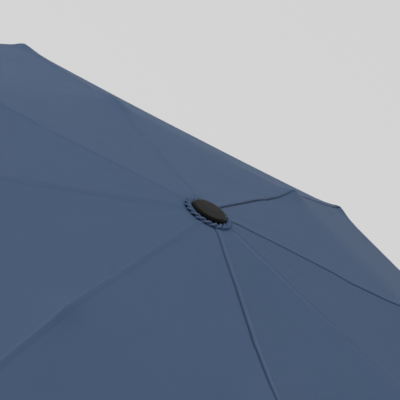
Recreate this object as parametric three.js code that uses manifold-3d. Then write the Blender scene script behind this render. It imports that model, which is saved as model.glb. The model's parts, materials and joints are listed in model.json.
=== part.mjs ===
// A three-fold pocket umbrella, open, with its shaft pulled out to full length.
// Eight ribs in three sections each fold like an accordion round a telescopic shaft.
// Units are millimetres and +Z is up the shaft. The origin is the centre of the handle's flat end.
// Every rib is built in its own frame: X runs along the rib, Y is tangential and Z is the fabric's side.
import * as THREE from "three";
import { mergeVertices } from "three/addons/utils/BufferGeometryUtils.js";
import Module from "manifold-3d";

const wasm = await Module();
wasm.setup();

// ---- Driving dimensions ----------------------------------------------------------------------

const RIBS = 8;
const GAP = 0.3; // clearance between touching pieces
const CROWN_Z = 570; // height of the rib pivots above the handle's end
const CROWN_PIVOT_R = 12;

// Slopes below the horizontal with the umbrella open, in degrees.
const TOP_SLOPE = 8;
const MIDDLE_SLOPE = 17;
const OUTER_SLOPE = 30;
const OUTER_BEND = 10; // how far the springy outer rib bends down over its length

const TOP_RIB = { length: 175, width: 4.2, height: 4, wall: 0.6 };
const MIDDLE_RIB = { length: 180, width: 3.6, height: 3.6, wall: 0.6 };
const OUTER_ROD = { length: 165, radius: 1.2 };
const STRETCHER = { length: 95, width: 2.2, height: 2.6 };

const STRETCHER_PIVOT = { x: 88, z: -0.4 }; // rivet in the top rib's frame
const ELBOW = { x: TOP_RIB.length, z: 3.2 }; // top rib to middle rib, above the channel
const KNEE = { x: MIDDLE_RIB.length, z: -4.5 }; // middle rib to outer rib, below the web
const PIN_R = 0.8;
const WIRE_R = 0.5; // the wire ring that the top ribs hinge on
const EYE_R = 1.3; // rounded end round a pin hole
const PIN_HOLE_R = PIN_R + GAP;

const TUBE_WALL = 0.5;
const UPPER_TUBE = { r: 7, low: CROWN_Z - 210, high: CROWN_Z + 2.6 };
const MIDDLE_TUBE = { r: 6.2, low: UPPER_TUBE.low - 152, high: UPPER_TUBE.low + 16 };
const LOWER_TUBE = { r: 5.4, low: 14, high: MIDDLE_TUBE.low + 16 };

const RUNNER_PIVOT_R = CROWN_PIVOT_R + STRETCHER_PIVOT.z;
const RUNNER_SLEEVE_R = 9.6;
const HUB_R = 14.5; // outside of the crown and of the runner's slotted ring

const HANDLE_TOP = 62;
const HANDLE_R = 15;
const HANDLE_NECK_R = 12.5;
const END_CAP_TOP = 6;

const CAP_R = 12;
const CAP_Z = CROWN_Z + 4.2; // underside of the cap
const FABRIC = 0.4; // thickness of the canopy's solid
const FABRIC_LIFT = 0.35; // the fabric's height above the ribs' webs
const FABRIC_HUB_R = 7.6; // the hole in the middle of the canopy
const FABRIC_HUB_Z = 2.6; // underside of the fabric above the pivots, at the hub
const BUMP = 3.6; // how far an elbow or a knee pushes the fabric up
const PANEL_SAG = 0.004; // sag in the middle of a panel, as a share of its width
const RIB_SHARE = 0.03; // how far to each side of a rib a bump reaches, as a share of the panel
const HEM_SCALLOP = 0.035; // how far the hem curves in between two tips, as a share of the radius

const radians = THREE.MathUtils.degToRad;

// ---- Solids: three.js geometry to manifold-3d and back ---------------------------------------

function solidOf(geometry) {
  const bare = geometry.clone();
  for (const name of ["normal", "uv"]) bare.deleteAttribute(name);
  const merged = mergeVertices(bare, 1e-4);
  const corners = merged.index.array;
  const kept = [];
  for (let i = 0; i < corners.length; i += 3) {
    const [a, b, c] = [corners[i], corners[i + 1], corners[i + 2]];
    if (a !== b && b !== c && c !== a) kept.push(a, b, c);
  }
  const index = new Uint32Array(kept);
  const build = () =>
    new wasm.Manifold(
      new wasm.Mesh({
        numProp: 3,
        vertProperties: new Float32Array(merged.attributes.position.array),
        triVerts: index,
      }),
    );
  const made = build();
  if (made.volume() > 0) return made;
  for (let i = 0; i < index.length; i += 3) {
    [index[i], index[i + 1]] = [index[i + 1], index[i]];
  }
  return build();
}

function geometryOf(solid) {
  const mesh = solid.getMesh();
  const points = new Float32Array(mesh.numVert * 3);
  for (let i = 0; i < mesh.numVert; i++) {
    const from = i * mesh.numProp;
    points.set(mesh.vertProperties.subarray(from, from + 3), i * 3);
  }
  const geometry = new THREE.BufferGeometry();
  geometry.setAttribute("position", new THREE.BufferAttribute(points, 3));
  geometry.setIndex(new THREE.BufferAttribute(new Uint32Array(mesh.triVerts), 1));
  geometry.computeVertexNormals();
  return geometry;
}

// Joins the first list of geometries and cuts the second list out of it.
function shaped(joined, cuts = []) {
  const whole = joined.map(solidOf).reduce((a, b) => a.add(b));
  return geometryOf(cuts.map(solidOf).reduce((a, b) => a.subtract(b), whole));
}

// ---- Basic shapes ----------------------------------------------------------------------------

function box(x0, x1, y0, y1, z0, z1) {
  const made = new THREE.BoxGeometry(x1 - x0, y1 - y0, z1 - z0);
  return made.translate((x0 + x1) / 2, (y0 + y1) / 2, (z0 + z1) / 2);
}

// A cylinder across the rib: its axis is tangential.
function crossPin(x, z, radius, width, sides = 8) {
  return new THREE.CylinderGeometry(radius, radius, width, sides).translate(x, 0, z);
}

// An outline of [radius, height] points turned about the shaft. It starts and ends on the axis, or
// it closes on its own first point.
function turned(outline, sides = 20) {
  const whole = outline[0][0] === 0 ? outline : [...outline, outline[0]];
  const points = whole.map(([r, z]) => new THREE.Vector2(r, z));
  return geometryOf(solidOf(new THREE.LatheGeometry(points, sides).rotateX(Math.PI / 2)));
}

function ring(inner, outer, low, high, sides = 20) {
  return turned([[inner, low], [outer, low], [outer, high], [inner, high]], sides);
}

// An outline in the rib's own plane, X along and Z up, given a tangential width.
function plate(outline, width) {
  const shape = new THREE.Shape(outline.map(([x, z]) => new THREE.Vector2(x, z)));
  const made = new THREE.ExtrudeGeometry(shape, { depth: width, bevelEnabled: false });
  return made.rotateX(Math.PI / 2).translate(0, width / 2, 0);
}

function wireRing(radius, wire, height, around = 24, section = 6) {
  return new THREE.TorusGeometry(radius, wire, section, around).translate(0, 0, height);
}

// A channel that opens downwards: a web on top and a wall on each side.
function channel(size, x0, x1, top) {
  const half = size.width / 2;
  const inside = half - size.wall;
  const low = top - size.height;
  return {
    body: box(x0, x1, -half, half, low, top),
    hollow: box(x0 - 1, x1 + 1, -inside, inside, low - 1, top - size.wall),
  };
}

// ---- Ribs ------------------------------------------------------------------------------------

function topRib() {
  const top = TOP_RIB.height / 2;
  const inside = TOP_RIB.width / 2 - TOP_RIB.wall;
  const end = ELBOW.x - 0.6;
  const bar = channel(TOP_RIB, 0, end, top);
  const ear = 1.2;
  const elbowEars = plate(
    [[end - 5, top - 2], [end - 3, top], [ELBOW.x - ear, ELBOW.z], [ELBOW.x + ear, ELBOW.z],
      [ELBOW.x + ear, top - 1.4], [ELBOW.x, -top]],
    TOP_RIB.width,
  );
  return shaped(
    [
      shaped(
        [bar.body, crossPin(0, 0, top, TOP_RIB.width), elbowEars,
          crossPin(ELBOW.x, ELBOW.z, ear, TOP_RIB.width)],
        [bar.hollow, box(-3, 1, -inside, inside, -3, 3), crossPin(0, 0, 1, 6),
          box(end - 3, end + 4, -inside, inside, -3, 6)],
      ),
      crossPin(STRETCHER_PIVOT.x, STRETCHER_PIVOT.z, PIN_R, TOP_RIB.width - 0.2),
      crossPin(ELBOW.x, ELBOW.z, PIN_R, TOP_RIB.width - 0.2),
    ],
  );
}

function middleRib() {
  const top = -ELBOW.z + TOP_RIB.height / 2;
  const inside = MIDDLE_RIB.width / 2 - MIDDLE_RIB.wall;
  const bar = channel(MIDDLE_RIB, 4.5, KNEE.x + 0.4, top);
  const tongue = plate(
    [[0, -EYE_R], [0.9, 0.9], [3, -0.2], [9, top - 0.2], [9, top - 2], [5, top - 2]],
    STRETCHER.width,
  );
  return shaped(
    [
      shaped(
        [bar.body, crossPin(KNEE.x, KNEE.z, EYE_R, MIDDLE_RIB.width)],
        [bar.hollow, box(KNEE.x - 1, KNEE.x + 3, -inside, inside, -9, 0)],
      ),
      shaped([tongue, crossPin(0, 0, EYE_R, STRETCHER.width)], [crossPin(0, 0, PIN_HOLE_R, 6)]),
      crossPin(KNEE.x, KNEE.z, PIN_R, MIDDLE_RIB.width - 0.2),
    ],
  );
}

// The bent rod's centre line in the outer rib's frame, whose origin is the knee's pin.
const ROD_Z = -ELBOW.z + TOP_RIB.height / 2 - KNEE.z - OUTER_ROD.radius;
const BEND_R = OUTER_ROD.length / radians(OUTER_BEND);

function rodPoint(along) {
  const angle = along / BEND_R;
  return new THREE.Vector3(
    BEND_R * Math.sin(angle),
    0,
    ROD_Z - BEND_R * (1 - Math.cos(angle)),
  );
}

function rodCurve(from, to, count) {
  const points = [];
  for (let i = 0; i <= count; i++) points.push(rodPoint(from + ((to - from) * i) / count));
  return new THREE.CatmullRomCurve3(points);
}

function roundSection(radius, sides) {
  const points = [];
  for (let i = 0; i < sides; i++) {
    const angle = (i / sides) * 2 * Math.PI;
    points.push(new THREE.Vector2(radius * Math.cos(angle), radius * Math.sin(angle)));
  }
  return new THREE.Shape(points);
}

function rod(from, to, radius, steps, sides = 6) {
  return new THREE.ExtrudeGeometry(roundSection(radius, sides), {
    steps,
    extrudePath: rodCurve(from, to, steps),
    bevelEnabled: false,
  });
}

function outerRib() {
  const tongueWidth = 1.8;
  const fitting = plate(
    [[0, -EYE_R], [1.2, -0.6], [5, ROD_Z - 1], [13, ROD_Z - 0.9], [13, ROD_Z + 0.9],
      [4, ROD_Z + 0.9], [-0.9, 0.9]],
    tongueWidth,
  );
  return shaped([
    shaped([fitting, crossPin(0, 0, EYE_R, tongueWidth)], [crossPin(0, 0, PIN_HOLE_R, 6)]),
    rod(4.5, OUTER_ROD.length, OUTER_ROD.radius, 6),
  ]);
}

function ribTip() {
  const bore = OUTER_ROD.radius + GAP;
  const cup = 7;
  const outline = [[0, 4], [2.4, 3], [2.9, 0.5], [2.5, -cup], [bore, -cup], [bore, GAP], [0, GAP]];
  const points = outline.map(([r, x]) => new THREE.Vector2(r, x));
  const made = new THREE.LatheGeometry([...points].reverse(), 8);
  const end = rodPoint(OUTER_ROD.length);
  return geometryOf(solidOf(
    made.rotateZ(-Math.PI / 2).rotateY(radians(OUTER_BEND)).translate(end.x, end.y, end.z),
  ));
}

// The stretcher's frame has its origin at the rivet, and X runs back to the runner.
function stretcher() {
  const half = STRETCHER.height / 2;
  const long = STRETCHER.length;
  return shaped(
    [
      box(0, long, -STRETCHER.width / 2, STRETCHER.width / 2, -half, half),
      crossPin(0, 0, half, STRETCHER.width),
      crossPin(long, 0, half, STRETCHER.width),
    ],
    [
      crossPin(0, 0, PIN_HOLE_R, 6),
      crossPin(long, 0, PIN_R, 6),
      box(8, long - 8, -STRETCHER.width, -STRETCHER.width / 2 + 0.6, -0.6, 0.6),
      box(8, long - 8, STRETCHER.width / 2 - 0.6, STRETCHER.width, -0.6, 0.6),
    ],
  );
}

// ---- Where the open linkage stands, in the plane of one rib: [radius, height above pivots] ----

function along(start, slope, x, z) {
  const angle = radians(slope);
  return {
    r: start.r + x * Math.cos(angle) + z * Math.sin(angle),
    z: start.z - x * Math.sin(angle) + z * Math.cos(angle),
  };
}

const CROWN = { r: CROWN_PIVOT_R, z: 0 };
const elbowAt = along(CROWN, TOP_SLOPE, ELBOW.x, ELBOW.z);
const kneeAt = along(elbowAt, MIDDLE_SLOPE, KNEE.x, KNEE.z);
const rivetAt = along(CROWN, TOP_SLOPE, STRETCHER_PIVOT.x, STRETCHER_PIVOT.z);
const stretcherReach = rivetAt.r - RUNNER_PIVOT_R;
const stretcherDrop = Math.sqrt(STRETCHER.length ** 2 - stretcherReach ** 2);
const runnerZ = rivetAt.z - stretcherDrop; // height of the runner's pivots above the crown's
const tipEnd = rodPoint(OUTER_ROD.length);
const tipAt = along(kneeAt, OUTER_SLOPE, tipEnd.x, tipEnd.z);

// ---- Canopy ----------------------------------------------------------------------------------

// Underside of the fabric along a rib: stations from the hub to the hem, with a bump at each joint.
// From the hub it is stretched straight to the elbow, a little clear of the top rib.
function fabricStations() {
  const lift = TOP_RIB.height / 2 + FABRIC_LIFT;
  const fromElbow = lift - ELBOW.z;
  const rodLift = ROD_Z + OUTER_ROD.radius + FABRIC_LIFT;
  const onTop = (x, up = 0) => ({ ...along(CROWN, TOP_SLOPE, x, lift + up), up });
  const onMiddle = (x, up = 0) => ({ ...along(elbowAt, MIDDLE_SLOPE, x, fromElbow + up), up });
  const onOuter = (s, up = 0) => {
    const p = rodPoint(s);
    return { ...along(kneeAt, OUTER_SLOPE, p.x, p.z - ROD_Z + rodLift + up), up };
  };
  return [
    { r: FABRIC_HUB_R, z: FABRIC_HUB_Z, up: 0 },
    { r: HUB_R + 1, z: FABRIC_HUB_Z, up: 0 },
    onTop(ELBOW.x - 9),
    onTop(ELBOW.x, BUMP),
    onMiddle(9),
    onMiddle(85),
    onMiddle(KNEE.x - 10),
    onMiddle(KNEE.x - 1, BUMP * 0.7),
    onOuter(12, 0.6),
    onOuter(55, 0.6),
    onOuter(110, 0.6),
    onOuter(OUTER_ROD.length - 8.5, 0.6),
  ];
}

// Places one point of the fabric: a station, and how far across the panel from one rib to the next.
function fabricPoint(station, first, across, isHem, rise) {
  const angle = (2 * Math.PI) / RIBS;
  const a = first * angle;
  const b = a + angle;
  const middle = 4 * across * (1 - across);
  const width = 2 * station.r * Math.sin(angle / 2);
  const scallop = isHem ? 1 - HEM_SCALLOP * middle : 1;
  const bump = Math.abs(across - 0.5) < 0.49 - RIB_SHARE ? station.up : 0;
  const x = station.r * scallop * ((1 - across) * Math.cos(a) + across * Math.cos(b));
  const y = station.r * scallop * ((1 - across) * Math.sin(a) + across * Math.sin(b));
  const hub = station.r < HUB_R * 2 ? 0 : 1;
  const hemSlope = radians(OUTER_SLOPE + OUTER_BEND / 2);
  const hemLift = isHem ? HEM_SCALLOP * middle * station.r * Math.tan(hemSlope) : 0;
  return [x, y, CROWN_Z + station.z - bump - PANEL_SAG * width * middle * hub + hemLift + rise];
}

function canopy() {
  const stations = fabricStations();
  const steps = [0, RIB_SHARE, 0.5, 1 - RIB_SHARE];
  const columns = RIBS * steps.length;
  const rows = stations.length;
  const points = [];
  for (const rise of [0, FABRIC]) {
    stations.forEach((station, row) => {
      for (let rib = 0; rib < RIBS; rib++) {
        for (const across of steps) {
          points.push(...fabricPoint(station, rib, across, row === rows - 1, rise));
        }
      }
    });
  }
  const at = (side, row, column) => (side * rows + row) * columns + (column % columns);
  const faces = [];
  const quad = (a, b, c, d) => faces.push(a, b, c, a, c, d);
  for (let column = 0; column < columns; column++) {
    for (let row = 0; row < rows - 1; row++) {
      quad(at(1, row, column), at(1, row + 1, column), at(1, row + 1, column + 1), at(1, row, column + 1));
      quad(at(0, row, column), at(0, row, column + 1), at(0, row + 1, column + 1), at(0, row + 1, column));
    }
    quad(at(0, 0, column), at(1, 0, column), at(1, 0, column + 1), at(0, 0, column + 1));
    const last = rows - 1;
    quad(at(0, last, column), at(0, last, column + 1), at(1, last, column + 1), at(1, last, column));
  }
  const geometry = new THREE.BufferGeometry();
  geometry.setAttribute("position", new THREE.Float32BufferAttribute(points, 3));
  geometry.setIndex(faces);
  return geometryOf(solidOf(geometry));
}

// ---- Crown, cap and shaft --------------------------------------------------------------------

// Slots that open upwards, downwards and outwards, one for each rib.
function hubSlots(width, inner, low, high) {
  const slots = [];
  for (let rib = 0; rib < RIBS; rib++) {
    const slot = box(inner, HUB_R + 2, -width / 2, width / 2, low - 1, high + 1);
    slots.push(slot.rotateZ((rib * 2 * Math.PI) / RIBS));
  }
  return slots;
}

function crown() {
  const low = CROWN_Z - 5.5;
  const high = CROWN_Z + FABRIC_HUB_Z - GAP;
  const body = turned(
    [[UPPER_TUBE.r + GAP, low], [HUB_R - 2, low], [HUB_R, low + 2], [HUB_R, high - 1], [HUB_R - 1, high],
      [UPPER_TUBE.r + GAP, high]],
    24,
  );
  const slotWidth = TOP_RIB.width + 2 * GAP;
  return shaped([body], [
    ...hubSlots(slotWidth, CROWN_PIVOT_R - TOP_RIB.height / 2 - GAP, low, high),
    wireRing(CROWN_PIVOT_R, WIRE_R + GAP, CROWN_Z),
  ]);
}

function runner() {
  const z = CROWN_Z + runnerZ;
  const body = turned(
    [[UPPER_TUBE.r + GAP, z - 20], [12, z - 20], [12.6, z - 19], [12, z - 17.5], [RUNNER_SLEEVE_R, z - 16.5],
      [RUNNER_SLEEVE_R, z - 3.5], [HUB_R - 1, z - 3.5], [HUB_R, z - 2.5], [HUB_R, z + 2.5],
      [HUB_R - 1, z + 3.5], [UPPER_TUBE.r + GAP, z + 3.5]],
    24,
  );
  const pocket = box(6, 12, -3, 3, z - 15.3, z - 5.7).rotateZ(Math.PI / RIBS);
  const slots = hubSlots(STRETCHER.width + 0.8, RUNNER_SLEEVE_R + GAP, z - 3.5, z + 3.5);
  return shaped([body], [...slots, pocket]);
}

function runnerButton() {
  const z = CROWN_Z + runnerZ;
  const outline = [[9, 0.4], [11.6, 0.4], [12.6, 2], [12.6, 7.2], [11.6, 8.8], [9, 8.8]];
  return plate(outline, 5.2).translate(0, 0, z - 15.1).rotateZ(Math.PI / RIBS);
}

const CAP_STEM = { r: 3.6, length: 14 };

function topCap() {
  const low = CAP_Z;
  return turned(
    [[0, low - CAP_STEM.length], [CAP_STEM.r, low - CAP_STEM.length], [CAP_STEM.r, low], [CAP_R - 1.4, low],
      [CAP_R - 0.2, low + 0.4], [CAP_R, low + 1], [CAP_R - 0.3, low + 1.8], [CAP_R - 1.4, low + 2.7],
      [0, low + 2.7]],
    24,
  );
}

function shaftPlug() {
  const outer = UPPER_TUBE.r - TUBE_WALL - GAP;
  const inner = CAP_STEM.r + GAP;
  return turned(
    [[inner, CROWN_Z - 12], [outer, CROWN_Z - 12], [outer, UPPER_TUBE.high + GAP],
      [UPPER_TUBE.r, UPPER_TUBE.high + GAP], [UPPER_TUBE.r, CAP_Z - GAP], [inner, CAP_Z - GAP]],
  );
}

// A gathered fabric ring between the cap and the canopy: its edge waves up and down.
function ruffleRing() {
  const waves = 16;
  const columns = waves * 2;
  const low = CROWN_Z + FABRIC_HUB_Z + FABRIC + GAP;
  const profile = [
    [7.4, 0, 0], [14, 0, 0], [15.8, 0.8, 0.5], [14.4, 1.9, 0.3], [12.6, 1.5, 0.1], [11.6, 0.5, 0],
    [7.4, 0.5, 0],
  ];
  const points = [];
  for (const [r, z, wave] of profile) {
    for (let i = 0; i < columns; i++) {
      const angle = (i / columns) * 2 * Math.PI;
      const out = r + (i % 2 ? wave : -wave);
      points.push(out * Math.cos(angle), out * Math.sin(angle), low + z);
    }
  }
  const faces = [];
  for (let row = 0; row < profile.length; row++) {
    const next = (row + 1) % profile.length;
    for (let i = 0; i < columns; i++) {
      const j = (i + 1) % columns;
      const [a, b, c, d] = [row * columns + i, row * columns + j, next * columns + j, next * columns + i];
      faces.push(a, b, c, a, c, d);
    }
  }
  const geometry = new THREE.BufferGeometry();
  geometry.setAttribute("position", new THREE.Float32BufferAttribute(points, 3));
  geometry.setIndex(faces);
  return geometryOf(solidOf(geometry));
}

function shaftTube(tube) {
  return ring(tube.r - TUBE_WALL, tube.r, tube.low, tube.high);
}

// A plastic collar on a tube's lower end, which the next tube slides through.
function tubeCollar(tube, height) {
  return ring(tube.r + GAP, tube.r + 1.6, tube.low, tube.low + height);
}

// ---- Handle ----------------------------------------------------------------------------------

function handleGrip() {
  const bore = LOWER_TUBE.r + GAP;
  const low = END_CAP_TOP + GAP;
  return turned(
    [[0, low], [HANDLE_R - 0.6, low], [HANDLE_R, low + 2], [HANDLE_R - 0.3, 26], [HANDLE_R - 1.4, 44],
      [HANDLE_NECK_R, 56], [HANDLE_NECK_R - 0.6, HANDLE_TOP - 1], [HANDLE_NECK_R - 1.6, HANDLE_TOP],
      [bore, HANDLE_TOP], [bore, LOWER_TUBE.low - GAP], [0, LOWER_TUBE.low - GAP]],
    24,
  );
}

function handleEndCap() {
  return turned(
    [[0, 0], [HANDLE_R - 2.5, 0], [HANDLE_R - 1.1, 0.8], [HANDLE_R - 0.6, 2.2], [HANDLE_R - 0.6, END_CAP_TOP],
      [0, END_CAP_TOP]],
    24,
  );
}

function handleFerrule() {
  return turned(
    [[LOWER_TUBE.r + GAP, HANDLE_TOP + GAP], [9.6, HANDLE_TOP + GAP], [9.6, HANDLE_TOP + 1.6],
      [8, HANDLE_TOP + 3.4], [LOWER_TUBE.r + GAP, HANDLE_TOP + 3.4]],
  );
}

// ---- Closing strap: a short band on the outside of the canopy, beside one outer rib -----------

const STRAP = { width: 12, length: 78, thick: 0.8, beside: 16, above: 2.4, hem: OUTER_ROD.length - 10 };

// How far a panel slopes down beside its rib, so that the strap lies flat on it.
const PANEL_TILT = Math.atan(Math.tan(Math.PI / RIBS) * Math.sin(radians(OUTER_SLOPE + OUTER_BEND / 2)));

// A band that follows the bent rod. It starts so far along the rod and is so long.
function closingStrap() {
  const outline = [];
  const steps = 5;
  for (let i = 0; i <= steps; i++) {
    const p = rodPoint(STRAP.hem - STRAP.length * (1 - i / steps));
    outline.push([p.x, p.z + STRAP.above]);
  }
  const back = [...outline].reverse().map(([x, z]) => [x, z + STRAP.thick]);
  const band = shaped([plate([...outline, ...back], STRAP.width).translate(0, STRAP.beside, 0)]);
  return band.rotateX(-PANEL_TILT);
}

function strapSnap() {
  const reach = STRAP.hem - STRAP.length + 9;
  const p = rodPoint(reach);
  const face = p.z + STRAP.above + STRAP.thick + GAP;
  const disc = turned([[0, 0], [4.4, 0], [4.4, 0.6], [2.2, 1.5], [0, 1.5]], 12);
  return disc.rotateY(reach / BEND_R).translate(p.x, STRAP.beside, face).rotateX(-PANEL_TILT);
}

// ---- Materials -------------------------------------------------------------------------------

function material(color, roughness, metalness = 0) {
  return new THREE.MeshStandardMaterial({ color, roughness, metalness });
}

const FABRIC_BLUE = material(0x4a5b77, 0.7);
const BLACK_PLASTIC = material(0x262523, 0.45);
const HUB_PLASTIC = material(0x1d1d1f, 0.5);
const PAINTED_STEEL = material(0x202124, 0.35, 0.6);
const STEEL = material(0x9a9ca0, 0.3, 1);
const FIBREGLASS = material(0x17181a, 0.4);
const STRAP_BLUE = material(0x3f4f69, 0.75);

// ---- Assembly --------------------------------------------------------------------------------

const umbrella = new THREE.Group();

function place(name, geometry, finish, parent = umbrella) {
  const mesh = new THREE.Mesh(geometry, finish);
  mesh.name = name;
  parent.add(mesh);
  return mesh;
}

// Puts a rib's section at a pivot in the rib's plane, sloping down by so many degrees.
function hang(mesh, at, slope) {
  mesh.position.set(at.r, 0, at.z);
  mesh.rotation.y = radians(slope);
}

const ribShapes = {
  top: topRib(),
  middle: middleRib(),
  outer: outerRib(),
  tip: ribTip(),
  stretcher: stretcher(),
};
const stretcherSlope = 180 - THREE.MathUtils.radToDeg(Math.asin(stretcherDrop / STRETCHER.length));

for (let rib = 1; rib <= RIBS; rib++) {
  const spoke = new THREE.Group();
  spoke.position.z = CROWN_Z;
  spoke.rotation.z = ((rib - 1) * 2 * Math.PI) / RIBS;
  umbrella.add(spoke);
  hang(place(`top_rib_${rib}`, ribShapes.top, PAINTED_STEEL, spoke), CROWN, TOP_SLOPE);
  hang(place(`middle_rib_${rib}`, ribShapes.middle, PAINTED_STEEL, spoke), elbowAt, MIDDLE_SLOPE);
  hang(place(`outer_rib_${rib}`, ribShapes.outer, FIBREGLASS, spoke), kneeAt, OUTER_SLOPE);
  hang(place(`rib_tip_${rib}`, ribShapes.tip, HUB_PLASTIC, spoke), kneeAt, OUTER_SLOPE);
  hang(place(`stretcher_${rib}`, ribShapes.stretcher, PAINTED_STEEL, spoke), rivetAt, stretcherSlope);
  if (rib === 6) {
    hang(place("closing_strap", closingStrap(), STRAP_BLUE, spoke), kneeAt, OUTER_SLOPE);
    hang(place("strap_snap", strapSnap(), STEEL, spoke), kneeAt, OUTER_SLOPE);
  }
}

place("canopy", canopy(), FABRIC_BLUE);
place("ruffle_ring", ruffleRing(), FABRIC_BLUE);
place("top_cap", topCap(), BLACK_PLASTIC);
place("shaft_plug", shaftPlug(), HUB_PLASTIC);
place("crown", crown(), HUB_PLASTIC);
place("crown_wire", wireRing(CROWN_PIVOT_R, WIRE_R, CROWN_Z), STEEL);
place("upper_tube", shaftTube(UPPER_TUBE), PAINTED_STEEL);
place("upper_tube_collar", tubeCollar(UPPER_TUBE, 6), HUB_PLASTIC);
place("middle_tube", shaftTube(MIDDLE_TUBE), STEEL);
place("middle_tube_collar", tubeCollar(MIDDLE_TUBE, 5), HUB_PLASTIC);
place("lower_tube", shaftTube(LOWER_TUBE), STEEL);
place("runner", runner(), HUB_PLASTIC);
place("runner_button", runnerButton(), BLACK_PLASTIC);
place("handle_grip", handleGrip(), BLACK_PLASTIC);
place("handle_end_cap", handleEndCap(), HUB_PLASTIC);
place("handle_ferrule", handleFerrule(), STEEL);

export default umbrella;
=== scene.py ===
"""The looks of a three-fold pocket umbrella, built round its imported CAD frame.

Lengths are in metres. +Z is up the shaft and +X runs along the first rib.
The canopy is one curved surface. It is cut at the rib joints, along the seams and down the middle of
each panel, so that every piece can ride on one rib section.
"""

import json
import math

import bmesh
import bpy
import numpy as np
from mathutils import Matrix, Vector


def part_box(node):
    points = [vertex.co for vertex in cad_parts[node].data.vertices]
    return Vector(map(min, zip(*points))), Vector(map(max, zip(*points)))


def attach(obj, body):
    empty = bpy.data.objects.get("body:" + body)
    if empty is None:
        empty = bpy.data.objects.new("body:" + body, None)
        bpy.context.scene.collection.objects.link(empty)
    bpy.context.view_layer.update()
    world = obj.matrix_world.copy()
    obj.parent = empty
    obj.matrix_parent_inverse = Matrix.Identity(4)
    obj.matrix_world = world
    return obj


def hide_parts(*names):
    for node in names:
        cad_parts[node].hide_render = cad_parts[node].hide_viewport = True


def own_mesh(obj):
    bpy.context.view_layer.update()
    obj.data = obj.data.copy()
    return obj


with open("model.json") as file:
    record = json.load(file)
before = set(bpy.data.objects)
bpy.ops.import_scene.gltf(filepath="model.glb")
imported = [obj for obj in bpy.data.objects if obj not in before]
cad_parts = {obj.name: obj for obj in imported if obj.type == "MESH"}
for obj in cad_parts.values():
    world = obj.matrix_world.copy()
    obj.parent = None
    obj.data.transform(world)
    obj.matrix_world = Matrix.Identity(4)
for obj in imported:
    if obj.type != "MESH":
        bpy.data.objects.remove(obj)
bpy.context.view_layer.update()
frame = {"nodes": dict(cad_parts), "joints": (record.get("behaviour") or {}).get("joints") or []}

MM = 0.001
RIBS = 8
TURN = 2 * math.pi / RIBS

joint_places = {j["name"]: j.get("pos_m") for j in frame["joints"]}


def pivot(name):
    """A joint of the first rib, as its distance from the axis and its height."""
    x, _, z = joint_places[name]
    return np.array([x, z])


CROWN = pivot("top_rib_1_hinge")
ELBOW = pivot("middle_rib_1_hinge")
KNEE = pivot("outer_rib_1_hinge")
SHEET_OFFSET = 0.2 * MM  # half the thickness of the canopy's CAD solid


# ---- Meshes ------------------------------------------------------------------------------------


def new_object(name, points, faces, smooth=True):
    mesh = bpy.data.meshes.new(name)
    mesh.from_pydata([tuple(p) for p in points], [], [tuple(f) for f in faces])
    mesh.update()
    mesh.polygons.foreach_set("use_smooth", [smooth] * len(mesh.polygons))
    made = bpy.data.objects.new(name, mesh)
    bpy.context.scene.collection.objects.link(made)
    return made


def grid_faces(rows, columns, wrap=False):
    """Quads of a grid of points, row after row. A wrapped grid joins its last column to its first."""
    across = columns if wrap else columns - 1
    faces = []
    for i in range(rows - 1):
        for j in range(across):
            k = (j + 1) % columns
            faces.append((i * columns + j, i * columns + k, (i + 1) * columns + k, (i + 1) * columns + j))
    return faces


def rounded(outline, radius, steps=4):
    """An outline of [radius, height] corners with each corner turned into a short arc."""
    corners = [np.array(p, float) for p in outline]
    made = []
    for i, corner in enumerate(corners):
        before, after = corners[i - 1], corners[(i + 1) % len(corners)]
        on_axis = abs(corner[0]) < 1e-9
        reach = min(radius, *(0.45 * np.linalg.norm(p - corner) for p in (before, after)))
        if on_axis or reach < 1e-6:
            made.append(corner)
            continue
        start = corner + (before - corner) / np.linalg.norm(before - corner) * reach
        end = corner + (after - corner) / np.linalg.norm(after - corner) * reach
        for t in np.linspace(0, 1, steps + 1):
            made.append((1 - t) ** 2 * start + 2 * t * (1 - t) * corner + t**2 * end)
    return made


def turned(name, outline, sides=96, closed=True):
    """A solid turned about the shaft. A closed outline rings the axis; another starts and ends on it."""
    outline = [np.array(p, float) for p in outline]
    points, faces = [], []
    starts = []
    for r, z in outline:
        starts.append(len(points))
        if r < 1e-9:
            points.append((0, 0, z))
            continue
        for i in range(sides):
            a = 2 * math.pi * i / sides
            points.append((r * math.cos(a), r * math.sin(a), z))
    count = len(outline)
    for i in range(count if closed else count - 1):
        j = (i + 1) % count
        for k in range(sides):
            m = (k + 1) % sides
            a = [starts[i]] if outline[i][0] < 1e-9 else [starts[i] + k, starts[i] + m]
            b = [starts[j]] if outline[j][0] < 1e-9 else [starts[j] + m, starts[j] + k]
            if len(a) + len(b) > 2:
                faces.append(tuple(a + b))
    made = new_object(name, points, faces)
    face_outward(made)
    return made


def face_outward(obj):
    work = bmesh.new()
    work.from_mesh(obj.data)
    bmesh.ops.recalc_face_normals(work, faces=work.faces)
    work.to_mesh(obj.data)
    work.free()


def sharpen(obj, degrees):
    """Smooth faces with hard edges wherever two faces meet at more than this angle."""
    mesh = obj.data
    mesh.polygons.foreach_set("use_smooth", [True] * len(mesh.polygons))
    mesh.set_sharp_from_angle(angle=math.radians(degrees))


def soften(obj, width):
    """Rounds an object's hard edges a little, so that they catch the light."""
    bevel = obj.modifiers.new("rounded_edges", "BEVEL")
    bevel.width = width
    bevel.segments = 2
    bevel.limit_method = "ANGLE"
    bevel.angle_limit = math.radians(40)


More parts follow.
